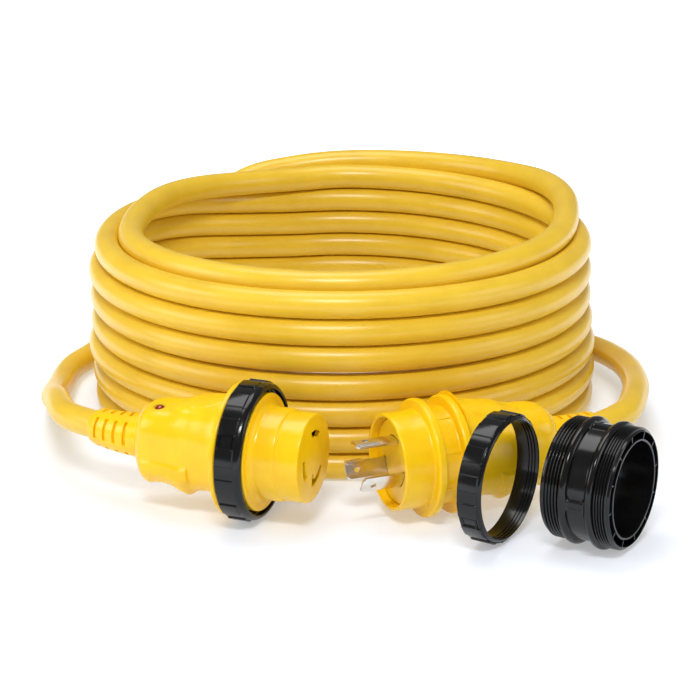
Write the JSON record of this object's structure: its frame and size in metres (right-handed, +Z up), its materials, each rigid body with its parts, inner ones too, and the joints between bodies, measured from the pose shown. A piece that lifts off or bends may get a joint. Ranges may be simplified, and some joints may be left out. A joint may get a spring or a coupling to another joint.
{
  "type": "shore power cord",
  "caption": "Coiled shore power cord with a moulded locking connector, a moulded locking plug, threaded lock rings and a loose threaded coupling sleeve.",
  "frame": {"origin": "on the surface the cord lies on, under the middle of the box round the couplings, lock rings and sleeve", "axes": "+X from the female connector towards the loose sleeve, +Y from the couplings towards the coil, +Z up"},
  "size_m": [0.3467, 0.4204, 0.1121],
  "materials": {
    "jacket": "satin thermoplastic jacket",
    "moulding": "satin moulded vinyl",
    "insulator": "moulded",
    "ring": "glossy moulded nylon",
    "contact": "stamped",
    "blade": "nickel plated brass",
    "lens": "clear red",
    "board": "circuit board",
    "core_black": "core insulation",
    "core_white": "core insulation",
    "core_green": "core insulation"
  },
  "bodies": {
    "root": {"cable_coil": "jacket", "cable_tail_connector": "jacket", "cable_tail_plug": "jacket", "connector_body": "moulding", "connector_nose": "moulding", "connector_strain_relief": "moulding", "connector_contact_carrier": "insulator", "connector_contact_hot": "contact", "connector_contact_neutral": "contact", "connector_contact_ground": "contact", "connector_crimp_hot": "contact", "connector_crimp_neutral": "contact", "connector_crimp_ground": "contact", "connector_core_hot": "core_black", "connector_core_neutral": "core_white", "connector_core_ground": "core_green", "connector_lamp_lens": "lens", "connector_lamp_board": "board", "plug_body": "moulding", "plug_face": "moulding", "plug_strain_relief": "moulding", "plug_blade_hot": "blade", "plug_blade_neutral": "blade", "plug_blade_ground": "blade", "plug_crimp_hot": "contact", "plug_crimp_neutral": "contact", "plug_crimp_ground": "contact", "plug_core_hot": "core_black", "plug_core_neutral": "core_white", "plug_core_ground": "core_green"},
    "lock_ring": {"connector_lock_ring": "ring"},
    "loose_ring": {"plug_lock_ring": "ring"},
    "sleeve": {"coupling_sleeve": "ring"}
  },
  "joints": [
    {"name": "lock_ring_turn", "type": "hinge", "parent": "root", "child": "lock_ring", "pos_m": [-0.0512, 0.0057, 0.0362], "axis": [0.9367, -0.3502, 0], "continuous": true},
    {"name": "loose_ring_lift", "type": "slide", "parent": "root", "child": "loose_ring", "axis": [0, 0, 1], "range_m": [0, 0.15]},
    {"name": "sleeve_lift", "type": "slide", "parent": "root", "child": "sleeve", "axis": [0, 0, 1], "range_m": [0, 0.15]}
  ]
}
